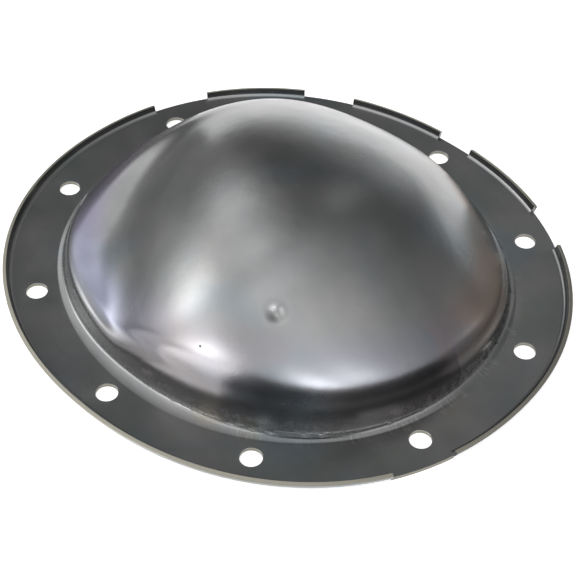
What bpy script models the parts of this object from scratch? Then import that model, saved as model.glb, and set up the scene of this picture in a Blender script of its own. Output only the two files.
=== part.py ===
"""Differential cover: one steel pressing, lying dome up with its gasket face on z = 0.

All lengths are in metres and all angles in degrees. The centre of the bolt pattern is the origin,
and +X is the long way of the flange. The sheet has an outer skin, which is a height over the plan,
and an inner skin one sheet thickness below it. The two are joined round the rim by the section of
the lip, or by a plain cut edge where the lip is notched.
"""
import math

import bmesh
import bpy
from mathutils import Vector

# Sheet
SHEET = 0.0019

# Flange, a trimmed oval
FLANGE_HALF_WIDTH = 0.1372
FLANGE_HALF_HEIGHT = 0.1280
FLANGE_SQUARENESS = 2.085

# Bolt pattern, one quarter of it, mirrored about both centrelines and set in from the trimmed edge
END_BOLT_MARGIN = 0.0131
CORNER_BOLT_MARGIN = 0.0131
CORNER_BOLT_ANGLE = 53.2
SIDE_BOLT_MARGIN = 0.0144
SIDE_BOLT_ANGLE = 17.5
BOLT_HOLE_DIAMETER = 0.0102

# Lip, bent up from a line inside the trimmed edge, and notched between pairs of angles
LIP_SETBACK = 0.0028
LIP_BEND_RADIUS = 0.0023
LIP_ANGLE = 68.0
LIP_STRAIGHT = 0.0024
LIP_NOTCHES = ((49.7, 62.2), (85.3, 94.5), (117.8, 129.6), (152.2, 164.8), (333.2, 345.9))

# Foot of the dome: the oval where its wall would meet the toe if it had no fillet, set in from the
# trimmed edge by the flange's width at its sides and at its ends
SIDE_FLANGE_WIDTH = 0.0272
END_FLANGE_WIDTH = 0.0274
FOOT_SQUARENESS = 2.12
FOOT_FILLET = 0.0025
WALL_SLOPE = 4.9
SHOULDER_POWER = 2.5

# Height the crown keeps at its edge, so that a wall stands all round
LEAST_WALL = 0.0050

# Toe, a low ramp from the flange up to the foot, drawn wider about one angle
TOE_WIDTH = 0.0028
TOE_HEIGHT = 0.0009
TOE_WIDENING = 0.0034
TOE_WIDEST_ANGLE = 276.0
TOE_WIDENING_POWER = 12.0

# Crown over the ring gear: a cylinder nearly along X, which falls this far from its crest to the foot
DRUM_CREST = 0.0740
DRUM_FALL = 0.0629
DRUM_OFFSET = -0.0115
DRUM_TILT = 0.13

# Long slope over the axle side, falling towards +X
LONG_SLOPE_HEIGHT = 0.1275
LONG_SLOPE = 0.98
LONG_SLOPE_CROWN = 6.0
LONG_SLOPE_OFFSET = -0.0162

# Short slope behind the ring gear, falling towards -X
SHORT_SLOPE_HEIGHT = 0.1182
SHORT_SLOPE = 0.98
SHORT_SLOPE_CROWN = 5.6
SHORT_SLOPE_OFFSET = 0.0308

# Shelf at the foot of the short slope, and the skirt that falls from it to the foot
SHELF_HEIGHT = 0.0145
SHELF_CROWN = 2.3
SHELF_OFFSET = 0.0383
SHELF_TILT = 0.29
SKIRT_HEIGHT = 0.0024
SKIRT_SLOPE = 1.30

# Widths of the blends between these surfaces
LONG_BLEND = 0.0267
SHORT_BLEND = 0.0319
SHELF_BLEND = 0.0060
SKIRT_BLEND = 0.0105
LEAST_WALL_BLEND = 0.0040

# Punch mark in the dome
DIMPLE_X = 0.0480
DIMPLE_Y = -0.0550
DIMPLE_RADIUS = 0.0062
DIMPLE_DEPTH = 0.0012

# Facets
SECTOR_ANGLE = 4.5
DOME_RINGS = 15
FOOT_RINGS = 4
BEND_STEPS = 3
HOLE_FACETS = 24
DIMPLE_CUTS = 3


def place(radius, angle, height):
    """The point at a radius and angle about the pattern's centre."""
    turn = math.radians(angle)
    return Vector((radius * math.cos(turn), radius * math.sin(turn), height))


def oval_radius(angle, half_width, half_height, squareness):
    """How far a superellipse is from its centre at an angle."""
    across = abs(math.cos(math.radians(angle))) / half_width
    along = abs(math.sin(math.radians(angle))) / half_height
    return (across ** squareness + along ** squareness) ** (-1.0 / squareness)


FOOT_HALF_WIDTH = FLANGE_HALF_WIDTH - SIDE_FLANGE_WIDTH
FOOT_HALF_HEIGHT = FLANGE_HALF_HEIGHT - END_FLANGE_WIDTH
DRUM_REACH = FOOT_HALF_HEIGHT + TOE_WIDTH + TOE_WIDENING + abs(DRUM_OFFSET)
DRUM_RADIUS = (DRUM_REACH ** 2 + DRUM_FALL ** 2) / (2.0 * DRUM_FALL)


def foot_radius(angle):
    return oval_radius(angle, FOOT_HALF_WIDTH, FOOT_HALF_HEIGHT, FOOT_SQUARENESS)


def trim_radius(angle):
    return oval_radius(angle, FLANGE_HALF_WIDTH, FLANGE_HALF_HEIGHT, FLANGE_SQUARENESS)


def bend_radius(angle):
    """Where the lip's bend starts. The lip's widths are laid off along the radius."""
    return trim_radius(angle) - LIP_SETBACK


def lower_of(first, second, blend):
    """The lower of two heights, rounded where they meet."""
    return 0.5 * (first + second - math.hypot(first - second, blend))


def higher_of(first, second, blend):
    """The higher of two heights, rounded where they meet."""
    return 0.5 * (first + second + math.hypot(first - second, blend))


def crown_height(x, y, inset):
    """Height of the dome's top over the flange, before its wall cuts it off."""
    drum = DRUM_CREST + DRUM_TILT * x - DRUM_RADIUS + math.sqrt(DRUM_RADIUS ** 2 - (y - DRUM_OFFSET) ** 2)
    long_slope = LONG_SLOPE_HEIGHT - LONG_SLOPE * x - LONG_SLOPE_CROWN * (y - LONG_SLOPE_OFFSET) ** 2
    short_slope = SHORT_SLOPE_HEIGHT + SHORT_SLOPE * x - SHORT_SLOPE_CROWN * (y - SHORT_SLOPE_OFFSET) ** 2
    top = lower_of(lower_of(drum, long_slope, LONG_BLEND), short_slope, SHORT_BLEND)
    shelf = SHELF_HEIGHT - SHELF_TILT * x - SHELF_CROWN * (y - SHELF_OFFSET) ** 2
    skirt = SKIRT_HEIGHT + SKIRT_SLOPE * inset
    crown = higher_of(top, lower_of(shelf, skirt, SKIRT_BLEND), SHELF_BLEND)
    return higher_of(crown, LEAST_WALL, LEAST_WALL_BLEND)


WALL_ANGLE = math.atan(WALL_SLOPE)
TOE_ANGLE = math.atan2(TOE_HEIGHT, TOE_WIDTH)
FILLET_TANGENT = FOOT_FILLET * math.tan(0.5 * (WALL_ANGLE - TOE_ANGLE))
FILLET_CENTRE_INSET = -FILLET_TANGENT * math.cos(TOE_ANGLE) - FOOT_FILLET * math.sin(TOE_ANGLE)
FILLET_CENTRE_HEIGHT = TOE_HEIGHT - FILLET_TANGENT * math.sin(TOE_ANGLE) + FOOT_FILLET * math.cos(TOE_ANGLE)
FILLET_TOP = FILLET_CENTRE_INSET + FOOT_FILLET * math.sin(WALL_ANGLE)
FILLET_BOTTOM = FILLET_CENTRE_INSET + FOOT_FILLET * math.sin(TOE_ANGLE)
FILLET_LOW = FILLET_CENTRE_HEIGHT - FOOT_FILLET * math.cos(TOE_ANGLE)


def toe_width(angle):
    turn = math.radians(angle - TOE_WIDEST_ANGLE)
    return TOE_WIDTH + TOE_WIDENING * (0.5 + 0.5 * math.cos(turn)) ** TOE_WIDENING_POWER


def wall_height(inset, toe):
    """Height of the wall, its foot fillet and the toe at a distance inside the foot oval."""
    if inset >= FILLET_TOP:
        return TOE_HEIGHT + inset * WALL_SLOPE
    if inset >= FILLET_BOTTOM:
        return FILLET_CENTRE_HEIGHT - math.sqrt(FOOT_FILLET ** 2 - (inset - FILLET_CENTRE_INSET) ** 2)
    if inset >= -toe:
        return FILLET_LOW * (inset + toe) / (FILLET_BOTTOM + toe)
    return 0.0


def dome_height(x, y):
    """Height of the outer skin over the flange's top face."""
    angle = math.degrees(math.atan2(y, x))
    inset = foot_radius(angle) - math.hypot(x, y)
    wall = wall_height(inset, toe_width(angle))
    if wall <= 0.0:
        return 0.0
    crown = crown_height(x, y, inset)
    return wall * crown / (wall ** SHOULDER_POWER + crown ** SHOULDER_POWER) ** (1.0 / SHOULDER_POWER)


def outer_point(x, y):
    return Vector((x, y, SHEET + dome_height(x, y)))


def skin_normal(x, y, step=0.0001):
    """Unit normal of the outer skin."""
    slope_x = (dome_height(x + step, y) - dome_height(x - step, y)) / (2.0 * step)
    slope_y = (dome_height(x, y + step) - dome_height(x, y - step)) / (2.0 * step)
    return Vector((-slope_x, -slope_y, 1.0)).normalized()


def inner_point(x, y):
    """The inner skin's point that lies one sheet thickness under an outer one."""
    return outer_point(x, y) - SHEET * skin_normal(x, y)


def ring_radii(angle):
    """Radii of the skins' rings at an angle, from the first round the pole to the lip's bend."""
    foot = foot_radius(angle)
    wall_top = foot - FILLET_TOP
    radii = [wall_top * math.sin(0.5 * math.pi * ring / DOME_RINGS) for ring in range(1, DOME_RINGS + 1)]
    for ring in range(1, FOOT_RINGS + 1):
        lean = WALL_ANGLE + (TOE_ANGLE - WALL_ANGLE) * ring / FOOT_RINGS
        radii.append(foot - FILLET_CENTRE_INSET - FOOT_FILLET * math.sin(lean))
    radii.append(foot + toe_width(angle))
    radii.append(bend_radius(angle))
    return radii


def column_angles():
    """Angles of the mesh's columns, with one at each end of each notch."""
    stops = sorted(angle for notch in LIP_NOTCHES for angle in notch)
    angles = []
    for start, end in zip(stops, stops[1:] + [stops[0] + 360.0]):
        steps = math.ceil((end - start) / SECTOR_ANGLE)
        angles += [start + (end - start) * step / steps for step in range(steps)]
    return angles


def is_notched(angle):
    return any(start < angle % 360.0 < end for start, end in LIP_NOTCHES)


def lip_section():
    """The lip's section from the flange's top face round to its underside.

    Each point is a distance out from the bend's start and a height over the gasket face. The point
    that the notch's cut edge meets is given as an index.
    """
    full = math.radians(LIP_ANGLE)
    leans = [full * step / BEND_STEPS for step in range(1, BEND_STEPS + 1)]
    centre = SHEET + LIP_BEND_RADIUS
    inner = [(LIP_BEND_RADIUS * math.sin(lean), centre - LIP_BEND_RADIUS * math.cos(lean)) for lean in leans]
    outer = [(centre * math.sin(lean), centre - centre * math.cos(lean)) for lean in leans]
    out, up = LIP_STRAIGHT * math.cos(full), LIP_STRAIGHT * math.sin(full)
    inner.append((inner[-1][0] + out, inner[-1][1] + up))
    outer.append((outer[-1][0] + out, outer[-1][1] + up))
    under = [(0.0, 0.0)] + outer
    crossing = next(index for index, point in enumerate(under) if point[0] > LIP_SETBACK)
    (near, low), (far, high) = under[crossing - 1], under[crossing]
    share = (LIP_SETBACK - near) / (far - near)
    under.insert(crossing, (LIP_SETBACK, low + share * (high - low)))
    section = inner + under[:0:-1]
    return section, len(section) - crossing


def plain_section(notch_height):
    """The cut edge in a notch, with a point where the lip's underside meets it."""
    return [(LIP_SETBACK, SHEET), (LIP_SETBACK, notch_height), (LIP_SETBACK, 0.0)]


def build_cover_mesh():
    """The whole sheet as one closed mesh, before its holes."""
    mesh = bmesh.new()
    angles = column_angles()
    count = len(angles)
    lip, notch_index = lip_section()
    plain = plain_section(lip[notch_index][1])
    notched = [is_notched(0.5 * (angle + following)) for angle, following in
               zip(angles, angles[1:] + [angles[0] + 360.0])]

    def column(angle, point_at):
        return [mesh.verts.new(point_at(*place(radius, angle, 0.0).xy)) for radius in ring_radii(angle)]

    def rim(angle, section):
        start = bend_radius(angle)
        return [mesh.verts.new(place(start + out, angle, height)) for out, height in section]

    outer = [column(angle, outer_point) for angle in angles]
    inner = [column(angle, inner_point) for angle in angles]
    lips, plains = {}, {}
    for index, angle in enumerate(angles):
        sides = {notched[index - 1], notched[index]}
        if False in sides:
            lips[index] = rim(angle, lip)
        if True in sides:
            plains[index] = rim(angle, plain) if index not in lips else [
                *rim(angle, plain[:1]), lips[index][notch_index], *rim(angle, plain[2:])]

    for skin, point_at in ((outer, outer_point), (inner, inner_point)):
        pole = mesh.verts.new(point_at(0.0, 0.0))
        for index in range(count):
            here, after = skin[index], skin[(index + 1) % count]
            mesh.faces.new((pole, here[0], after[0]))
            for ring in range(len(here) - 1):
                mesh.faces.new((here[ring], here[ring + 1], after[ring + 1], after[ring]))

    for index in range(count):
        after = (index + 1) % count
        rims = plains if notched[index] else lips
        here_chain = [outer[index][-1], *rims[index], inner[index][-1]]
        next_chain = [outer[after][-1], *rims[after], inner[after][-1]]
        for step in range(len(here_chain) - 1):
            mesh.faces.new((here_chain[step], here_chain[step + 1], next_chain[step + 1], next_chain[step]))
        if notched[index - 1] != notched[index]:
            mesh.faces.new((outer[index][-1], *lips[index][:notch_index + 1], plains[index][0]))
            mesh.faces.new((inner[index][-1], plains[index][2], *lips[index][notch_index:]))
    return mesh


def press_dimple(mesh):
    """Refines both skins round the punch mark, then pushes them in along the dome's normal."""
    centre = outer_point(DIMPLE_X, DIMPLE_Y)
    normal = skin_normal(DIMPLE_X, DIMPLE_Y)

    def off_axis(point):
        offset = point - centre
        return (offset - offset.dot(normal) * normal).length

    def over_dome(point):
        return (point - centre).dot(normal) > -2.0 * SHEET - DIMPLE_RADIUS

    near = [edge for edge in mesh.edges
            if all(over_dome(vert.co) and off_axis(vert.co) < 2.0 * DIMPLE_RADIUS for vert in edge.verts)]
    bmesh.ops.subdivide_edges(mesh, edges=near, cuts=DIMPLE_CUTS, use_grid_fill=True, smooth=0.0)
    for vert in mesh.verts:
        share = off_axis(vert.co) / DIMPLE_RADIUS
        if share < 1.0 and over_dome(vert.co):
            vert.co -= DIMPLE_DEPTH * (0.5 + 0.5 * math.cos(math.pi * share)) * normal


def cut_bolt_holes(cover):
    """Ten straight holes, each cut by its own cylinder."""
    spots = []
    for side in (0.0, 180.0):
        spots.append((END_BOLT_MARGIN, 90.0 + side))
        for margin, angle in ((CORNER_BOLT_MARGIN, CORNER_BOLT_ANGLE), (SIDE_BOLT_MARGIN, SIDE_BOLT_ANGLE)):
            spots.append((margin, side + angle))
            spots.append((margin, side - angle))
    drills = bmesh.new()
    for margin, angle in spots:
        made = bmesh.ops.create_cone(drills, cap_ends=True, segments=HOLE_FACETS, depth=4.0 * SHEET,
                                     radius1=0.5 * BOLT_HOLE_DIAMETER, radius2=0.5 * BOLT_HOLE_DIAMETER)
        centre = place(trim_radius(angle) - margin, angle, 0.5 * SHEET)
        bmesh.ops.translate(drills, verts=made["verts"], vec=centre)
    cutter = add_object("bolt_hole_cutter", drills)
    cutter.hide_render = True
    cutter.display_type = 'WIRE'
    cut = cover.modifiers.new("Bolt holes", 'BOOLEAN')
    cut.operation = 'DIFFERENCE'
    cut.solver = 'EXACT'
    cut.object = cutter


def add_object(name, mesh):
    data = bpy.data.meshes.new(name)
    mesh.to_mesh(data)
    mesh.free()
    thing = bpy.data.objects.new(name, data)
    bpy.context.scene.collection.objects.link(thing)
    return thing


def plated_steel():
    material = bpy.data.materials.new("plated_steel")
    material.use_nodes = True
    shader = material.node_tree.nodes["Principled BSDF"]
    shader.inputs["Base Color"].default_value = (0.17, 0.17, 0.175, 1.0)
    shader.inputs["Metallic"].default_value = 1.0
    shader.inputs["Roughness"].default_value = 0.28
    return material


def main():
    for thing in list(bpy.data.objects):
        bpy.data.objects.remove(thing, do_unlink=True)
    mesh = build_cover_mesh()
    press_dimple(mesh)
    bmesh.ops.recalc_face_normals(mesh, faces=mesh.faces)
    cover = add_object("differential_cover", mesh)
    cover.data.materials.append(plated_steel())
    cover.data.shade_smooth()
    cover.data.set_sharp_from_angle(angle=math.radians(35.0))
    cut_bolt_holes(cover)


main()
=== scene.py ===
"""Looks for the differential cover: a fine skin in place of the faceted one, its steel, and a studio."""
import math

import bmesh
import bpy
import numpy as np
from mathutils import Matrix, Vector


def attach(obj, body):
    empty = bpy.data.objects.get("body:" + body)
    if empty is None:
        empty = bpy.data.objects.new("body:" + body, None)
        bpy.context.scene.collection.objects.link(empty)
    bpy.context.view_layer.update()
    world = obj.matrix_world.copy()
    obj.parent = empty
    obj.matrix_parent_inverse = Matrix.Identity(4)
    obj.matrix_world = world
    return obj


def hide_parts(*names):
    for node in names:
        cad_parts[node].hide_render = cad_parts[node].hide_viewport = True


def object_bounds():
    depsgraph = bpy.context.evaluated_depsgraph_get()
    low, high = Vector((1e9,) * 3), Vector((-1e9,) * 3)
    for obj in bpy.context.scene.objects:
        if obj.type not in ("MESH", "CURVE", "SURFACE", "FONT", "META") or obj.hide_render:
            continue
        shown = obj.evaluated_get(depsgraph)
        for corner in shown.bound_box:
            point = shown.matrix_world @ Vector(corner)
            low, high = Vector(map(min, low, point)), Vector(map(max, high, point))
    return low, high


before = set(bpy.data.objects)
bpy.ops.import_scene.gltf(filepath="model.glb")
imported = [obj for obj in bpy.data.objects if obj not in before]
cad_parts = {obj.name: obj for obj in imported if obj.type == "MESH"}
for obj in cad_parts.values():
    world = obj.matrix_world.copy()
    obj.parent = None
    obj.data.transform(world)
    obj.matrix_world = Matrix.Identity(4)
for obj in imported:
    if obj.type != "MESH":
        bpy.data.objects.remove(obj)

cad_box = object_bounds()

# Sizes in metres and degrees, as in the CAD but for the shelf, the dimple, the ledge and its support
SHEET = 0.0019

FLANGE_HALF_WIDTH = 0.1372
FLANGE_HALF_HEIGHT = 0.1280
FLANGE_SQUARENESS = 2.085

END_BOLT_MARGIN = 0.0131
CORNER_BOLT_MARGIN = 0.0131
CORNER_BOLT_ANGLE = 53.2
SIDE_BOLT_MARGIN = 0.0144
SIDE_BOLT_ANGLE = 17.5
BOLT_HOLE_DIAMETER = 0.0102

LIP_SETBACK = 0.0028
LIP_BEND_RADIUS = 0.0023
LIP_ANGLE = 68.0
LIP_STRAIGHT = 0.0024
LIP_NOTCHES = ((49.7, 62.2), (85.3, 94.5), (117.8, 129.6), (152.2, 164.8), (333.2, 345.9))

SIDE_FLANGE_WIDTH = 0.0272
END_FLANGE_WIDTH = 0.0274
FOOT_SQUARENESS = 2.12
FOOT_FILLET = 0.0025
WALL_SLOPE = 4.9
SHOULDER_POWER = 2.5

LEAST_WALL = 0.0050

# A ledge low on the wall, and the crown's support behind it
LEDGE_HEIGHT = 0.0072
LEDGE_SLOPE = 0.85
LEDGE_RISE = 0.0300
LEDGE_RISE_ANGLE = 190.0
LEDGE_RISE_POWER = 3.5
LEDGE_EASE = 0.30
LEDGE_EASE_ANGLE = 225.0
LEDGE_EASE_POWER = 2.5
LEDGE_WIDTH = 0.0050
LEDGE_BLEND = 0.0036
LEDGE_HOLLOW = 0.0060
LEDGE_FADE = 2.0
LEDGE_FADE_ANGLE = 315.0
LEDGE_FADE_POWER = 5.0
LEDGE_WIDENING = 0.0025
LEDGE_WIDEST_ANGLE = 255.0
LEDGE_WIDENING_POWER = 20.0
SUPPORT_HEIGHT = 0.0080
SUPPORT_SLOPE = 0.32
SUPPORT_REACH = 0.0250
SUPPORT_ANGLE = 246.0
SUPPORT_POWER = 8.0
SUPPORT_BLEND = 0.0090
UPPER_WALL_SLOPE = 9.0
UPPER_WALL_ANGLE = 300.0

TOE_WIDTH = 0.0028
TOE_HEIGHT = 0.0009
TOE_WIDENING = 0.0034
TOE_WIDEST_ANGLE = 276.0
TOE_WIDENING_POWER = 12.0

DRUM_CREST = 0.0740
DRUM_FALL = 0.0629
DRUM_OFFSET = -0.0115
DRUM_TILT = 0.13

LONG_SLOPE_HEIGHT = 0.1275
LONG_SLOPE = 0.98
LONG_SLOPE_CROWN = 6.0
LONG_SLOPE_OFFSET = -0.0162

SHORT_SLOPE_HEIGHT = 0.1182
SHORT_SLOPE = 0.98
SHORT_SLOPE_CROWN = 5.6
SHORT_SLOPE_OFFSET = 0.0308

SHELF_HEIGHT = 0.0112
SHELF_CROWN = 2.3
SHELF_OFFSET = 0.0383
SHELF_TILT = 0.29
SKIRT_HEIGHT = 0.0024
SKIRT_SLOPE = 1.30

LONG_BLEND = 0.0267
SHORT_BLEND = 0.0319
SHELF_BLEND = 0.0100
SKIRT_BLEND = 0.0105
LEAST_WALL_BLEND = 0.0040

DIMPLE_X = 0.0520
DIMPLE_Y = -0.0610
DIMPLE_RADIUS = 0.0080
DIMPLE_DEPTH = 0.0022

# The fine skin
COLUMN_ANGLE = 1.0
DOME_RINGS = 88
RING_CROWDING = 1.5
FOOT_RINGS = 10
BEND_STEPS = 6
EDGE_BREAK = 0.00015
HOLE_FACETS = 64
HOLE_FLARE = 10.0
TOE_EDGE = 0.0003
SHARP_EDGE_ANGLE = 30.0

# Camera, solved from the ten bolt holes
CAMERA_PLACE = (0.36738, -0.39231, 0.52121)
CAMERA_RIGHT = (0.72006, 0.69372, 0.01664)
CAMERA_DOWN = (0.49788, -0.49978, -0.70875)
CAMERA_LENS = 96.49
SENSOR = 36.0

# Soft lamps, each with how bright it looks, azimuth, elevation and how tight its glow is
SOFT_LAMPS = (
    (2.07, 234, 24, 11), (1.65, 328, 27, 2), (1.91, 168, 32, 54), (1.43, 184, 55, 34), (1.17, 260, 75, 11),
    (1.93, 203, 21, 22), (0.84, 108, 3, 23), (2.41, 348, 19, 55), (1.01, 58, -2, 52), (0.42, 114, 42, 60),
    (3.82, 260, -1, 15), (0.68, 130, -4, 55), (0.41, 186, -23, 4), (4.50, 264, 2, 50), (5.50, 325, 5, 50),
    (2.50, 211, 27, 60))
SKY_LEVEL = 0.05

# Cards on the floor, seen only in the steel: start and end angle, reach, shade and glow
CARDS = (
    (289, 372, 3.0, 0.05, 0.0), (12, 76, 3.0, 0.25, 0.0), (155, 230, 3.0, 0.20, 0.0), (260, 289, 0.6, 0.80, 2.6))
CARD_GAP = 0.003
CARD_HEIGHT = 0.0006
CARD_STEPS = 24

FLOOR_SIZE = 30.0
FLOOR_SHADE = 0.8
FLOOR_GLOW = 0.5

# Steel: colours, then where along the turn and how far inside the foot each thing lies
STEEL_DARK = (0.190, 0.195, 0.198)
STEEL_PALE = (0.255, 0.255, 0.252)
HEAT_COLOURS = (
    (0.00, (0.235, 0.215, 0.240)), (0.06, (0.290, 0.225, 0.190)), (0.13, (0.280, 0.220, 0.170)),
    (0.25, (0.285, 0.220, 0.190)), (0.36, (0.300, 0.200, 0.235)), (0.52, (0.265, 0.200, 0.285)),
    (0.66, (0.200, 0.215, 0.285)), (0.80, (0.225, 0.210, 0.215)), (0.90, (0.210, 0.215, 0.240)))
# Painted shade for the foot of the front wall, darkening it like a dark reflection
PAINTED_WALL_SHADE = (0.075, 0.068, 0.070)
PAINTED_WALL_SHADE_TURN = 0.86
CLOUD_BLUE = (0.165, 0.215, 0.250)
CLOUD_GREEN = (0.175, 0.200, 0.180)
STAIN_TAN = (0.250, 0.235, 0.185)
STAINS = (((0.055, -0.100, 0.0), 0.026), ((0.108, -0.020, 0.0), 0.022), ((-0.060, 0.100, 0.0), 0.020))
# Colour of the speckled grime and painted crease shade at the foot, and of the pits
GRIME_AND_CREASE_SHADE = (0.035, 0.033, 0.032)
BRIGHT_SCRATCH = (0.500, 0.510, 0.520)
DRAW_MARK_TURN = 0.48
PITS = ((0.032, -0.087, 0.035), (-0.018, -0.028, 0.067))
PIT_RADIUS = 0.0006
SHEARED = (0.250, 0.240, 0.205)
UPRIGHT_NORMAL = 0.3
SHEARED_REACH = 1.3
SPOT_CORE = 0.35

SIDE_FADE = (0.20, 0.10)
HEAT_RISE = (0.001, 0.008)
HEAT_FALL = (0.012, 0.026)
HEAT_WANDER = 0.06
WANDER = 0.16
PAINTED_WALL_SHADE_RISE = (-0.0008, 0.0010)
PAINTED_WALL_SHADE_FALL = (0.0045, 0.0075)
GREEN_FADE = (-0.003, -0.007)
CREASE_GRIME_AND_SHADE_RISE = (-0.0008, 0.0004)
CREASE_GRIME_AND_SHADE_FALL = (0.0008, 0.0020)
DRAW_MARK_RISE = (-0.0072, -0.0048)
DRAW_MARK_FALL = (-0.0012, 0.0006)
DRAW_MARKS_PER_TURN = 700.0
DRAW_MARKS_PER_METRE = 130.0
NICK_CELLS = 85.0
NICK_EDGE = (0.055, 0.030)
NICK_CHANCE = 0.10

# Noises: scale, detail and offset, and the values between which one counts
CLOUD_NOISE = (24.0, 4.0)
CLOUD_STOPS = (0.32, 0.68)
WANDER_NOISE = (13.0, 2.0, 3.0)
BLUE_NOISE = (17.0, 3.0, 7.0)
BLUE_STEP = (0.50, 0.68)
GREEN_NOISE = (26.0, 3.0, 11.0)
GREEN_STEP = (0.47, 0.66)
STAIN_NOISE = (31.0, 3.0, 19.0)
STAIN_STEP = (0.50, 0.62)
GRIME_NOISE = (420.0, 2.0, 5.0)
GRIME_STEP = (0.40, 0.75)
STREAK_NOISE = (1.0, 3.0)
STREAK_STEP = (0.50, 0.66)
PATCH_NOISE = (60.0, 2.0, 2.0)
PATCH_STEP = (0.38, 0.60)
GLOSS_NOISE = (45.0, 5.0, 13.0)
GRAIN_NOISE = (1500.0, 3.0)
RIPPLE_NOISE = (120.0, 2.0, 9.0)

# How strongly each tint shows
HEAT_SHARE = 0.85
PAINTED_WALL_SHADE_SHARE = 0.75
BLUE_SHARE = 0.45
GREEN_SHARE = 0.5
STAIN_SHARE = 0.6
CREASE_GRIME_AND_SHADE_SHARE = 0.4
DRAW_MARK_SHARE = 0.22
NICK_SHARE = 0.7

ROUGHNESS = 0.25
GLOSS_RANGE = 0.16
GRIME_ROUGHNESS = 0.2
GRIME_DULLNESS = 0.3
SHEARED_ROUGHNESS = 0.25

# Relief: the grain's depth in metres, and the others in steps of it
GRAIN_DEPTH = 0.000016
RIPPLE_RELIEF = 4.0
MARK_RELIEF = 2.5
NICK_RELIEF = -6.0
PIT_RELIEF = -12.0

FOOT_HALF_WIDTH = FLANGE_HALF_WIDTH - SIDE_FLANGE_WIDTH
FOOT_HALF_HEIGHT = FLANGE_HALF_HEIGHT - END_FLANGE_WIDTH
DRUM_REACH = FOOT_HALF_HEIGHT + TOE_WIDTH + TOE_WIDENING + abs(DRUM_OFFSET)
DRUM_RADIUS = (DRUM_REACH ** 2 + DRUM_FALL ** 2) / (2.0 * DRUM_FALL)
WALL_ANGLE = math.atan(WALL_SLOPE)
TOE_ANGLE = math.atan2(TOE_HEIGHT, TOE_WIDTH)
FILLET_TANGENT = FOOT_FILLET * math.tan(0.5 * (WALL_ANGLE - TOE_ANGLE))
FILLET_CENTRE_INSET = -FILLET_TANGENT * math.cos(TOE_ANGLE) - FOOT_FILLET * math.sin(TOE_ANGLE)
FILLET_CENTRE_HEIGHT = TOE_HEIGHT - FILLET_TANGENT * math.sin(TOE_ANGLE) + FOOT_FILLET * math.cos(TOE_ANGLE)
FILLET_TOP = FILLET_CENTRE_INSET + FOOT_FILLET * math.sin(WALL_ANGLE)
FILLET_BOTTOM = FILLET_CENTRE_INSET + FOOT_FILLET * math.sin(TOE_ANGLE)
FILLET_LOW = FILLET_CENTRE_HEIGHT - FOOT_FILLET * math.cos(TOE_ANGLE)


def oval_radius(turn, half_width, half_height, squareness):
    across = np.abs(np.cos(turn)) / half_width
    along = np.abs(np.sin(turn)) / half_height
    return (across ** squareness + along ** squareness) ** (-1.0 / squareness)


def foot_radius(turn):
    return oval_radius(turn, FOOT_HALF_WIDTH, FOOT_HALF_HEIGHT, FOOT_SQUARENESS)


def trim_radius(turn):
    return oval_radius(turn, FLANGE_HALF_WIDTH, FLANGE_HALF_HEIGHT, FLANGE_SQUARENESS)


def lower_of(first, second, blend):
    return 0.5 * (first + second - np.hypot(first - second, blend))


def higher_of(first, second, blend):
    return 0.5 * (first + second + np.hypot(first - second, blend))


def crown_height(x, y, inset):
    across = np.clip(y - DRUM_OFFSET, -DRUM_REACH, DRUM_REACH)
    drum = DRUM_CREST + DRUM_TILT * x - DRUM_RADIUS + np.sqrt(DRUM_RADIUS ** 2 - across ** 2)
    long_slope = LONG_SLOPE_HEIGHT - LONG_SLOPE * x - LONG_SLOPE_CROWN * (y - LONG_SLOPE_OFFSET) ** 2
    short_slope = SHORT_SLOPE_HEIGHT + SHORT_SLOPE * x - SHORT_SLOPE_CROWN * (y - SHORT_SLOPE_OFFSET) ** 2
    top = lower_of(lower_of(drum, long_slope, LONG_BLEND), short_slope, SHORT_BLEND)
    shelf = SHELF_HEIGHT - SHELF_TILT * x - SHELF_CROWN * (y - SHELF_OFFSET) ** 2
    skirt = SKIRT_HEIGHT + SKIRT_SLOPE * inset
    crown = higher_of(top, lower_of(shelf, skirt, SKIRT_BLEND), SHELF_BLEND)
    return higher_of(crown, LEAST_WALL, LEAST_WALL_BLEND)


def nearness(turn, angle):
    """One at an angle round the cover, falling to nought on the opposite side."""
    return 0.5 + 0.5 * np.cos(turn - math.radians(angle))


def toe_width(turn):
    return TOE_WIDTH + TOE_WIDENING * nearness(turn, TOE_WIDEST_ANGLE) ** TOE_WIDENING_POWER


def ledge_slope(turn):
    """The ledge low on the wall is steepest, so hardest to see, at the front."""
    fade = LEDGE_FADE * nearness(turn, LEDGE_FADE_ANGLE) ** LEDGE_FADE_POWER
    return LEDGE_SLOPE + fade - LEDGE_EASE * nearness(turn, LEDGE_EASE_ANGLE) ** LEDGE_EASE_POWER


def ledge_width(turn):
    return LEDGE_WIDTH + LEDGE_WIDENING * nearness(turn, LEDGE_WIDEST_ANGLE) ** LEDGE_WIDENING_POWER


def upper_wall_slope(turn):
    return WALL_SLOPE + (UPPER_WALL_SLOPE - WALL_SLOPE) * nearness(turn, UPPER_WALL_ANGLE)


def ledge_height(inset, turn):
    rise = LEDGE_RISE * nearness(turn, LEDGE_RISE_ANGLE) ** LEDGE_RISE_POWER
    return LEDGE_HEIGHT + rise + ledge_slope(turn) * inset


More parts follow.
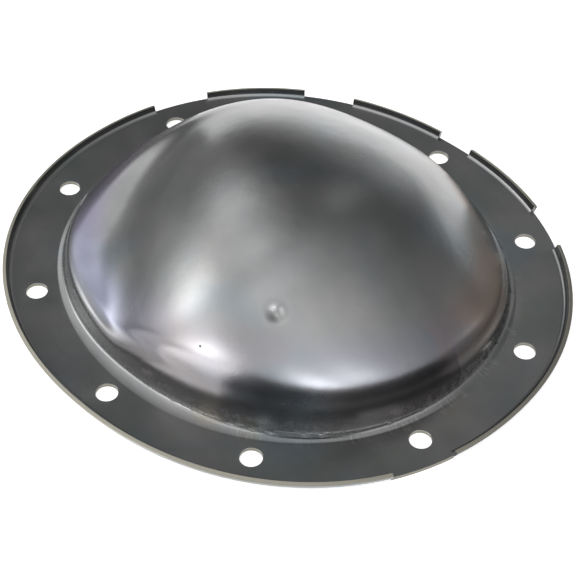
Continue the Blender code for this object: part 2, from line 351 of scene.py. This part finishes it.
def wall_height(inset, turn):
    """The sheet's underside at the foot: the toe's ramp, the fillet, and the wall with its ledge."""
    toe = toe_width(turn)
    across = np.clip(inset - FILLET_CENTRE_INSET, -FOOT_FILLET, FOOT_FILLET)
    fillet = FILLET_CENTRE_HEIGHT - np.sqrt(FOOT_FILLET ** 2 - across ** 2)
    ramp = FILLET_LOW * (inset + toe) / (FILLET_BOTTOM + toe)
    ledge = ledge_height(inset, turn)
    upper = ledge + (upper_wall_slope(turn) - ledge_slope(turn)) * (inset - ledge_width(turn))
    wall = lower_of(TOE_HEIGHT + inset * WALL_SLOPE, higher_of(ledge, upper, LEDGE_HOLLOW), LEDGE_BLEND)
    return np.where(inset >= FILLET_TOP, np.where(wall < 0.0, fillet, wall),
                    np.where(inset >= FILLET_BOTTOM, fillet, ramp))


def dome_height(x, y):
    """The dome's underside: the wall under the crown, with a rounded shoulder between them."""
    turn = np.arctan2(y, x)
    inset = foot_radius(turn) - np.hypot(x, y)
    wall = wall_height(inset, turn)
    crown = crown_height(x, y, inset)
    support = SUPPORT_HEIGHT + SUPPORT_SLOPE * np.clip(inset, 0.0, SUPPORT_REACH)
    support = support * nearness(turn, SUPPORT_ANGLE) ** SUPPORT_POWER
    crown = higher_of(crown, support, SUPPORT_BLEND)
    positive = np.maximum(wall, 1e-9)
    shoulder = (positive ** SHOULDER_POWER + crown ** SHOULDER_POWER) ** (1.0 / SHOULDER_POWER)
    return np.where(wall > 0.0, positive * crown / shoulder, 0.0)


def skin_normals(x, y, step=0.00005):
    slope_x = (dome_height(x + step, y) - dome_height(x - step, y)) / (2.0 * step)
    slope_y = (dome_height(x, y + step) - dome_height(x, y - step)) / (2.0 * step)
    normals = np.stack((-slope_x, -slope_y, np.ones_like(x)), axis=-1)
    return normals / np.linalg.norm(normals, axis=-1, keepdims=True)


def press_dimple(points):
    spot = np.array((DIMPLE_X, DIMPLE_Y))
    centre = np.array((*spot, SHEET + float(dome_height(spot[0], spot[1]))))
    normal = skin_normals(spot[:1], spot[1:])[0]
    offsets = points - centre
    depth = offsets @ normal
    off_axis = np.linalg.norm(offsets - depth[..., None] * normal, axis=-1)
    share = np.clip(off_axis / DIMPLE_RADIUS, 0.0, 1.0)
    dent = DIMPLE_DEPTH * (0.5 + 0.5 * np.cos(math.pi * share)) ** 2
    dent = np.where(depth > -2.0 * SHEET - DIMPLE_RADIUS, dent, 0.0)
    return points - dent[..., None] * normal


def column_angles():
    stops = sorted(angle for notch in LIP_NOTCHES for angle in notch)
    angles = []
    for start, end in zip(stops, stops[1:] + [stops[0] + 360.0]):
        steps = math.ceil((end - start) / COLUMN_ANGLE)
        angles += [start + (end - start) * step / steps for step in range(steps)]
    return np.array(angles)


def is_notched(angle):
    return any(start < angle % 360.0 < end for start, end in LIP_NOTCHES)


def lip_section():
    """The lip's section from the flange's top round to its underside, and where a notch's edge meets it."""
    full = math.radians(LIP_ANGLE)
    leans = [full * step / BEND_STEPS for step in range(1, BEND_STEPS + 1)]
    centre = SHEET + LIP_BEND_RADIUS
    inner = [(LIP_BEND_RADIUS * math.sin(lean), centre - LIP_BEND_RADIUS * math.cos(lean)) for lean in leans]
    outer = [(centre * math.sin(lean), centre - centre * math.cos(lean)) for lean in leans]
    along = Vector((math.cos(full), math.sin(full)))
    through = Vector((math.sin(full), -math.cos(full)))
    inner_end = Vector(inner[-1]) + LIP_STRAIGHT * along
    outer_end = Vector(outer[-1]) + LIP_STRAIGHT * along
    inner += [tuple(inner_end - EDGE_BREAK * along), tuple(inner_end + EDGE_BREAK * through)]
    outer += [tuple(outer_end - EDGE_BREAK * along), tuple(outer_end - EDGE_BREAK * through)]
    under = [(0.0, 0.0)] + outer
    crossing = next(index for index, point in enumerate(under) if point[0] > LIP_SETBACK)
    (near, low), (far, high) = under[crossing - 1], under[crossing]
    share = (LIP_SETBACK - near) / (far - near)
    under.insert(crossing, (LIP_SETBACK, low + share * (high - low)))
    section = inner + under[:0:-1]
    return section, len(section) - crossing


def make_cover():
    """Both skins of the sheet in columns round the cover, closed by the lip or, in a notch, by the cut edge."""
    angles = column_angles()
    count = len(angles)
    turns = np.radians(angles)[:, None]
    foot = foot_radius(turns)
    shares = np.arange(1, DOME_RINGS + 1) / DOME_RINGS
    radii = [(foot - FILLET_TOP) * (1.0 - (1.0 - shares) ** RING_CROWDING)]
    leans = WALL_ANGLE + (TOE_ANGLE - WALL_ANGLE) * np.arange(1, FOOT_RINGS + 1) / FOOT_RINGS
    radii.append(foot - FILLET_CENTRE_INSET - FOOT_FILLET * np.sin(leans))
    toe = foot + toe_width(turns)
    radii += [toe - TOE_EDGE, toe, toe + TOE_EDGE]
    bend = trim_radius(turns) - LIP_SETBACK
    radii.append(bend)
    radii = np.hstack(radii)
    x = radii * np.cos(turns)
    y = radii * np.sin(turns)
    outer = np.stack((x, y, SHEET + dome_height(x, y)), axis=-1)
    inner = outer - SHEET * skin_normals(x, y)
    outer = press_dimple(outer)
    inner = press_dimple(inner)
    pole_x = np.zeros(1)
    pole_outer = np.array((0.0, 0.0, SHEET + float(dome_height(0.0, 0.0))))
    pole_inner = pole_outer - SHEET * skin_normals(pole_x, pole_x)[0]

    mesh = bmesh.new()
    lip, notch_index = lip_section()
    plain = [(LIP_SETBACK, SHEET), (LIP_SETBACK, lip[notch_index][1]), (LIP_SETBACK, 0.0)]
    notched = [is_notched(0.5 * (angle + following)) for angle, following in
               zip(angles, list(angles[1:]) + [angles[0] + 360.0])]

    def rim(index, section):
        start = float(bend[index, 0])
        turn = float(turns[index, 0])
        return [mesh.verts.new(((start + out) * math.cos(turn), (start + out) * math.sin(turn), height))
                for out, height in section]

    skins = []
    for points, pole_point in ((outer, pole_outer), (inner, pole_inner)):
        skin = [[mesh.verts.new(point) for point in column] for column in points]
        pole = mesh.verts.new(pole_point)
        for index in range(count):
            here, after = skin[index], skin[(index + 1) % count]
            mesh.faces.new((pole, here[0], after[0]))
            for ring in range(len(here) - 1):
                mesh.faces.new((here[ring], here[ring + 1], after[ring + 1], after[ring]))
        skins.append(skin)
    outer, inner = skins

    lips, plains = {}, {}
    for index in range(count):
        sides = {notched[index - 1], notched[index]}
        if False in sides:
            lips[index] = rim(index, lip)
        if True in sides:
            plains[index] = rim(index, plain) if index not in lips else [
                *rim(index, plain[:1]), lips[index][notch_index], *rim(index, plain[2:])]
    for index in range(count):
        after = (index + 1) % count
        rims = plains if notched[index] else lips
        here_chain = [outer[index][-1], *rims[index], inner[index][-1]]
        next_chain = [outer[after][-1], *rims[after], inner[after][-1]]
        for step in range(len(here_chain) - 1):
            mesh.faces.new((here_chain[step], here_chain[step + 1], next_chain[step + 1], next_chain[step]))
        if notched[index - 1] != notched[index]:
            mesh.faces.new((outer[index][-1], *lips[index][:notch_index + 1], plains[index][0]))
            mesh.faces.new((inner[index][-1], plains[index][2], *lips[index][notch_index:]))
    bmesh.ops.recalc_face_normals(mesh, faces=mesh.faces)
    data = bpy.data.meshes.new("cover_skin")
    mesh.to_mesh(data)
    mesh.free()
    cover = bpy.data.objects.new("cover_skin", data)
    bpy.context.scene.collection.objects.link(cover)
    return cover


def fit_in_box(cover):
    """Shrink the fine skin by the hair that rounder curves reach past the faceted solid."""
    places = np.empty(3 * len(cover.data.vertices))
    cover.data.vertices.foreach_get("co", places)
    places = places.reshape(-1, 3)
    low, high = np.array(cad_box[0]), np.array(cad_box[1])
    for axis in range(3):
        middle = 0.5 * (low[axis] + high[axis]) if axis < 2 else 0.0
        reach = np.abs(places[:, axis] - middle).max()
        room = high[axis] - middle
        places[:, axis] = middle + (places[:, axis] - middle) * min(1.0, room / reach)
    cover.data.vertices.foreach_set("co", places.ravel())


def cut_bolt_holes(cover):
    spots = []
    for side in (0.0, 180.0):
        spots.append((END_BOLT_MARGIN, 90.0 + side))
        for margin, angle in ((CORNER_BOLT_MARGIN, CORNER_BOLT_ANGLE), (SIDE_BOLT_MARGIN, SIDE_BOLT_ANGLE)):
            spots.append((margin, side + angle))
            spots.append((margin, side - angle))
    radius = 0.5 * BOLT_HOLE_DIAMETER
    flare = HOLE_FLARE * EDGE_BREAK
    profile = [(radius + flare, SHEET - EDGE_BREAK + flare), (radius, SHEET - EDGE_BREAK),
               (radius, EDGE_BREAK), (radius + flare, EDGE_BREAK - flare)]
    drills = bmesh.new()
    for margin, angle in spots:
        turn = math.radians(angle)
        out = float(trim_radius(turn)) - margin
        centre = Vector((out * math.cos(turn), out * math.sin(turn), 0.0))
        rings = []
        for ring_radius, height in profile:
            ring = []
            for facet in range(HOLE_FACETS):
                around = 2.0 * math.pi * facet / HOLE_FACETS
                place = Vector((ring_radius * math.cos(around), ring_radius * math.sin(around), height))
                ring.append(drills.verts.new(centre + place))
            rings.append(ring)
        drills.faces.new(rings[0])
        drills.faces.new(rings[-1][::-1])
        for upper, lower in zip(rings, rings[1:]):
            for facet in range(HOLE_FACETS):
                after = (facet + 1) % HOLE_FACETS
                drills.faces.new((upper[facet], lower[facet], lower[after], upper[after]))
    bmesh.ops.recalc_face_normals(drills, faces=drills.faces)
    data = bpy.data.meshes.new("hole_cutter")
    drills.to_mesh(data)
    drills.free()
    cutter = bpy.data.objects.new("hole_cutter", data)
    bpy.context.scene.collection.objects.link(cutter)
    cut = cover.modifiers.new("Bolt holes", 'BOOLEAN')
    cut.operation = 'DIFFERENCE'
    cut.solver = 'EXACT'
    cut.object = cutter
    depsgraph = bpy.context.evaluated_depsgraph_get()
    data = bpy.data.meshes.new_from_object(cover.evaluated_get(depsgraph))
    cover.modifiers.clear()
    cover.data = data
    bpy.data.objects.remove(cutter, do_unlink=True)


def node_value(tree, operation, *values):
    """A maths node's result on values that are numbers or sockets."""
    node = tree.nodes.new("ShaderNodeMath")
    node.operation = operation
    for slot, value in enumerate(values):
        if isinstance(value, (int, float)):
            node.inputs[slot].default_value = value
        else:
            tree.links.new(value, node.inputs[slot])
    return node.outputs[0]


def node_product(tree, *values):
    """Two or more values multiplied together, in their order."""
    product = values[0]
    for value in values[1:]:
        product = node_value(tree, 'MULTIPLY', product, value)
    return product


def node_step(tree, value, start, end):
    """A soft step from 0 at start to 1 at end."""
    node = tree.nodes.new("ShaderNodeMapRange")
    node.interpolation_type = 'SMOOTHSTEP'
    tree.links.new(value, node.inputs["Value"])
    low, high = (start, end) if start < end else (end, start)
    node.inputs["From Min"].default_value = low
    node.inputs["From Max"].default_value = high
    node.inputs["To Min"].default_value = 0.0 if start < end else 1.0
    node.inputs["To Max"].default_value = 1.0 if start < end else 0.0
    return node.outputs["Result"]


def node_band(tree, value, rise, fall):
    """A soft band: up between the two values of rise and down between the two of fall."""
    return node_product(tree, node_step(tree, value, *rise), node_step(tree, value, *fall[::-1]))


def node_noise(tree, vector, scale, detail=3.0, offset=0.0):
    shift = tree.nodes.new("ShaderNodeVectorMath")
    shift.operation = 'ADD'
    tree.links.new(vector, shift.inputs[0])
    shift.inputs[1].default_value = (offset, offset, offset)
    node = tree.nodes.new("ShaderNodeTexNoise")
    node.inputs["Scale"].default_value = scale
    node.inputs["Detail"].default_value = detail
    tree.links.new(shift.outputs[0], node.inputs["Vector"])
    return node.outputs["Fac"]


def node_ramp(tree, value, stops):
    node = tree.nodes.new("ShaderNodeValToRGB")
    ramp = node.color_ramp
    while len(ramp.elements) < len(stops):
        ramp.elements.new(0.5)
    for element, (position, colour) in zip(ramp.elements, stops):
        element.position = position
        element.color = (*colour, 1.0)
    tree.links.new(value, node.inputs[0])
    return node.outputs[0]


def node_tint(tree, factor, base, colour):
    """The base colour turned toward another one by a factor."""
    node = tree.nodes.new("ShaderNodeMix")
    node.data_type = 'RGBA'
    tree.links.new(factor, node.inputs["Factor"])
    tree.links.new(base, node.inputs[6])
    if isinstance(colour, tuple):
        node.inputs[7].default_value = (*colour, 1.0)
    else:
        tree.links.new(colour, node.inputs[7])
    return node.outputs[2]


def node_spot(tree, position, centre, radius):
    """One near a place, fading to nought at its radius."""
    away = tree.nodes.new("ShaderNodeVectorMath")
    away.operation = 'DISTANCE'
    tree.links.new(position, away.inputs[0])
    away.inputs[1].default_value = centre
    return node_step(tree, away.outputs["Value"], radius, SPOT_CORE * radius)


def node_attribute(tree, name):
    node = tree.nodes.new("ShaderNodeAttribute")
    node.attribute_name = name
    return node.outputs["Fac"]


def mark_cover(cover):
    """Write how far each vertex lies inside the foot and beyond the lip's bend, and its share of a turn."""
    places = np.empty(3 * len(cover.data.vertices))
    cover.data.vertices.foreach_get("co", places)
    places = places.reshape(-1, 3)
    turn = np.arctan2(places[:, 1], places[:, 0])
    radius = np.hypot(places[:, 0], places[:, 1])
    marks = {"inset": foot_radius(turn) - radius, "beyond": radius - trim_radius(turn) + LIP_SETBACK,
             "turn": np.mod(turn / (2.0 * math.pi), 1.0)}
    for name, values in marks.items():
        cover.data.attributes.new(name, 'FLOAT', 'POINT').data.foreach_set("value", values.astype(np.float32))


def plated_steel():
    """Dark plated sheet steel with heat colours, clouds, stains, draw marks and bare sheared edges, and painted
    shade at the front wall's foot and in the crease at the foot.
    """
    material = bpy.data.materials.new("plated_steel")
    material.use_nodes = True
    tree = material.node_tree
    shader = tree.nodes["Principled BSDF"]
    position = tree.nodes.new("ShaderNodeTexCoord").outputs["Object"]
    split = tree.nodes.new("ShaderNodeSeparateXYZ")
    tree.links.new(position, split.inputs[0])
    normal = tree.nodes.new("ShaderNodeSeparateXYZ")
    tree.links.new(tree.nodes.new("ShaderNodeNewGeometry").outputs["Normal"], normal.inputs[0])
    inset = node_attribute(tree, "inset")
    beyond = node_attribute(tree, "beyond")
    turn = node_attribute(tree, "turn")

    clouds = node_noise(tree, position, *CLOUD_NOISE)
    colour = node_ramp(tree, clouds, ((CLOUD_STOPS[0], STEEL_DARK), (CLOUD_STOPS[1], STEEL_PALE)))

    # Heat and oil colours around the dome's shoulder, by their place on the turn
    wander = node_value(tree, 'MULTIPLY_ADD', node_noise(tree, position, *WANDER_NOISE), WANDER, -0.5 * WANDER)
    around = node_value(tree, 'FRACT', node_value(tree, 'ADD', turn, wander))
    heat = node_ramp(tree, around, HEAT_COLOURS)
    depth = node_value(tree, 'ADD', inset, node_product(tree, wander, HEAT_WANDER))
    band = node_band(tree, depth, HEAT_RISE, HEAT_FALL)
    colour = node_tint(tree, node_product(tree, band, HEAT_SHARE), colour, heat)

    # Painted shade: the foot of the wall at the front darkened to stand in for the dark reflection there
    front = node_value(tree, 'ABSOLUTE', node_value(tree, 'SUBTRACT', turn, PAINTED_WALL_SHADE_TURN))
    painted_wall_shade = node_product(tree, node_band(tree, inset, PAINTED_WALL_SHADE_RISE, PAINTED_WALL_SHADE_FALL),
                             node_step(tree, front, *SIDE_FADE))
    colour = node_tint(tree, node_product(tree, painted_wall_shade, PAINTED_WALL_SHADE_SHARE), colour, PAINTED_WALL_SHADE)

    # Blue and green clouds, and tan stains on the flange
    blue = node_step(tree, node_noise(tree, position, *BLUE_NOISE), *BLUE_STEP)
    colour = node_tint(tree, node_product(tree, blue, BLUE_SHARE), colour, CLOUD_BLUE)
    on_flange = node_step(tree, inset, *GREEN_FADE)
    green = node_step(tree, node_noise(tree, position, *GREEN_NOISE), *GREEN_STEP)
    colour = node_tint(tree, node_product(tree, green, on_flange, GREEN_SHARE), colour, CLOUD_GREEN)
    stain = node_step(tree, node_noise(tree, position, *STAIN_NOISE), *STAIN_STEP)
    for centre, radius in STAINS:
        spot = node_spot(tree, position, centre, radius)
        colour = node_tint(tree, node_product(tree, spot, stain, STAIN_SHARE), colour, STAIN_TAN)

    # Grime in the crease at the foot, with painted shade: a speckled, duller band that also darkens the crease as
    # shade would
    speckle = node_step(tree, node_noise(tree, position, *GRIME_NOISE), *GRIME_STEP)
    crease_grime_and_shade = node_product(tree, node_band(tree, inset, CREASE_GRIME_AND_SHADE_RISE, CREASE_GRIME_AND_SHADE_FALL), speckle)
    colour = node_tint(tree, node_product(tree, crease_grime_and_shade, CREASE_GRIME_AND_SHADE_SHARE), colour, GRIME_AND_CREASE_SHADE)

    # Fine draw marks across the foot, strongest on one side
    radial = tree.nodes.new("ShaderNodeCombineXYZ")
    tree.links.new(node_product(tree, turn, DRAW_MARKS_PER_TURN), radial.inputs[0])
    tree.links.new(node_product(tree, inset, DRAW_MARKS_PER_METRE), radial.inputs[1])
    streaks = node_step(tree, node_noise(tree, radial.outputs[0], *STREAK_NOISE), *STREAK_STEP)
    opposite = node_value(tree, 'FRACT', node_value(tree, 'ADD', turn, 0.5))
    side = node_value(tree, 'ABSOLUTE', node_value(tree, 'SUBTRACT', opposite, DRAW_MARK_TURN))
    patchy = node_step(tree, node_noise(tree, position, *PATCH_NOISE), *PATCH_STEP)
    marks = node_product(tree, node_band(tree, inset, DRAW_MARK_RISE, DRAW_MARK_FALL),
                         node_step(tree, side, *SIDE_FADE), patchy, streaks)
    colour = node_tint(tree, node_product(tree, marks, DRAW_MARK_SHARE), colour, BRIGHT_SCRATCH)

    # Nicks and pits
    cells = tree.nodes.new("ShaderNodeTexVoronoi")
    cells.inputs["Scale"].default_value = NICK_CELLS
    tree.links.new(position, cells.inputs["Vector"])
    chance = tree.nodes.new("ShaderNodeSeparateColor")
    tree.links.new(cells.outputs["Color"], chance.inputs[0])
    nick = node_product(tree, node_step(tree, cells.outputs["Distance"], *NICK_EDGE),
                        node_value(tree, 'GREATER_THAN', chance.outputs[0], 1.0 - NICK_CHANCE))
    colour = node_tint(tree, node_product(tree, nick, NICK_SHARE), colour, BRIGHT_SCRATCH)
    pits = node_value(tree, 'MAXIMUM', *(node_spot(tree, position, centre, PIT_RADIUS) for centre in PITS))
    colour = node_tint(tree, pits, colour, GRIME_AND_CREASE_SHADE)

    # Sheared edges: the holes' and notches' walls, and the lip's end
    low = node_value(tree, 'LESS_THAN', split.outputs["Z"], SHEET)
    upright = node_value(tree, 'LESS_THAN', node_value(tree, 'ABSOLUTE', normal.outputs["Z"]), UPRIGHT_NORMAL)
    sheared = node_product(tree, low, upright)
    lean = math.radians(LIP_ANGLE)
    end = (SHEET + LIP_BEND_RADIUS) * math.sin(lean) + LIP_STRAIGHT
    along = node_value(tree, 'ADD', node_product(tree, beyond, math.cos(lean)),
                       node_product(tree, split.outputs["Z"], math.sin(lean)))
    lip_end = node_product(tree, node_value(tree, 'GREATER_THAN', along, end - SHEARED_REACH * EDGE_BREAK),
                           node_value(tree, 'GREATER_THAN', beyond, 0.0))
    sheared = node_value(tree, 'MAXIMUM', sheared, lip_end)
    colour = node_tint(tree, sheared, colour, SHEARED)
    tree.links.new(colour, shader.inputs["Base Color"])

    # Gloss, and relief in steps of the grain's depth
    metal = node_value(tree, 'SUBTRACT', 1.0, node_product(tree, crease_grime_and_shade, GRIME_DULLNESS))
    tree.links.new(metal, shader.inputs["Metallic"])
    rough = node_value(tree, 'MULTIPLY_ADD', node_noise(tree, position, *GLOSS_NOISE), GLOSS_RANGE,
                       ROUGHNESS - 0.5 * GLOSS_RANGE)
    rough = node_value(tree, 'MULTIPLY_ADD', crease_grime_and_shade, GRIME_ROUGHNESS, rough)
    rough = node_value(tree, 'MULTIPLY_ADD', sheared, SHEARED_ROUGHNESS, rough)
    tree.links.new(rough, shader.inputs["Roughness"])

    height = node_noise(tree, position, *GRAIN_NOISE)
    ripple = node_noise(tree, position, *RIPPLE_NOISE)
    for relief, steps in ((ripple, RIPPLE_RELIEF), (marks, MARK_RELIEF), (nick, NICK_RELIEF), (pits, PIT_RELIEF)):
        height = node_value(tree, 'MULTIPLY_ADD', relief, steps, height)
    bump = tree.nodes.new("ShaderNodeBump")
    bump.inputs["Distance"].default_value = GRAIN_DEPTH
    tree.links.new(height, bump.inputs["Height"])
    tree.links.new(bump.outputs["Normal"], shader.inputs["Normal"])
    return material


def direction(azimuth, elevation):
    turn = math.radians(azimuth)
    rise = math.radians(elevation)
    return Vector((math.cos(turn) * math.cos(rise), math.sin(turn) * math.cos(rise), math.sin(rise)))


def world_glow(world):
    """A soft lamp is a glow in the world around its direction."""
    world.use_nodes = True
    tree = world.node_tree
    background = tree.nodes["Background"]
    coords = tree.nodes.new("ShaderNodeTexCoord")
    total = SKY_LEVEL
    for strength, azimuth, elevation, tightness in SOFT_LAMPS:
        toward = tree.nodes.new("ShaderNodeVectorMath")
        toward.operation = 'DOT_PRODUCT'
        tree.links.new(coords.outputs["Generated"], toward.inputs[0])
        toward.inputs[1].default_value = direction(azimuth, elevation)
        fall = node_value(tree, 'SUBTRACT', toward.outputs["Value"], 1.0)
        glow = node_value(tree, 'EXPONENT', node_value(tree, 'MULTIPLY', fall, tightness))
        total = node_value(tree, 'ADD', total, node_value(tree, 'MULTIPLY', glow, strength))
    tree.links.new(total, background.inputs["Strength"])
    background.inputs["Color"].default_value = (1.0, 1.0, 1.0, 1.0)


def matte_material(name, shade):
    """A plain matte white that glows by its emission strength."""
    material = bpy.data.materials.new(name)
    material.use_nodes = True
    shader = material.node_tree.nodes["Principled BSDF"]
    shader.inputs["Base Color"].default_value = (shade, shade, shade, 1.0)
    shader.inputs["Roughness"].default_value = 1.0
    shader.inputs["Specular IOR Level"].default_value = 0.0
    shader.inputs["Emission Color"].default_value = (1.0, 1.0, 1.0, 1.0)
    return material, shader


def lay_card(number, start, end, reach, shade, glow):
    """A sector of a ring just above the floor, outside the cover's rim."""
    mesh = bmesh.new()
    rows = []
    for step in range(CARD_STEPS + 1):
        turn = math.radians(start + (end - start) * step / CARD_STEPS)
        near = float(trim_radius(turn)) + CARD_GAP
        rows.append([mesh.verts.new((radius * math.cos(turn), radius * math.sin(turn), CARD_HEIGHT))
                     for radius in (near, reach)])
    for here, after in zip(rows, rows[1:]):
        mesh.faces.new((here[0], here[1], after[1], after[0]))
    data = bpy.data.meshes.new(f"card_{number}")
    mesh.to_mesh(data)
    mesh.free()
    card = bpy.data.objects.new(f"card_{number}", data)
    bpy.context.scene.collection.objects.link(card)
    card.visible_camera = False
    card.visible_diffuse = False
    card.visible_shadow = False
    material, shader = matte_material(f"card_{number}", shade)
    shader.inputs["Emission Strength"].default_value = glow
    data.materials.append(material)


def make_studio():
    for number, card in enumerate(CARDS):
        lay_card(number, *card)
    world = bpy.data.worlds.new("studio")
    bpy.context.scene.world = world
    world_glow(world)

    bpy.ops.mesh.primitive_plane_add(size=FLOOR_SIZE, location=(0.0, 0.0, 0.0))
    floor = bpy.context.object
    floor.name = "floor"
    material, shader = matte_material("pale_floor", FLOOR_SHADE)
    tree = material.node_tree
    rays = tree.nodes.new("ShaderNodeLightPath").outputs
    seen = node_value(tree, 'MAXIMUM', rays["Is Camera Ray"], rays["Is Glossy Ray"])
    seen = node_value(tree, 'MAXIMUM', seen, rays["Is Transmission Ray"])
    tree.links.new(node_value(tree, 'MULTIPLY', seen, FLOOR_GLOW), shader.inputs["Emission Strength"])
    floor.data.materials.append(material)


def make_camera():
    right = Vector(CAMERA_RIGHT)
    up = -Vector(CAMERA_DOWN)
    back = right.cross(up)
    data = bpy.data.cameras.new("camera")
    data.lens = CAMERA_LENS
    data.sensor_width = SENSOR
    camera = bpy.data.objects.new("camera", data)
    bpy.context.scene.collection.objects.link(camera)
    camera.location = CAMERA_PLACE
    turn = [[right[row], up[row], back[row]] for row in range(3)]
    camera.rotation_euler = Matrix(turn).to_euler()
    bpy.context.scene.camera = camera


cover = make_cover()
cut_bolt_holes(cover)
fit_in_box(cover)
cover.data.shade_smooth()
cover.data.set_sharp_from_angle(angle=math.radians(SHARP_EDGE_ANGLE))
mark_cover(cover)
cover.data.materials.clear()
cover.data.materials.append(plated_steel())
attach(cover, "root")
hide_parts("differential_cover")
make_studio()
make_camera()
bpy.context.scene.view_settings.view_transform = 'Standard'
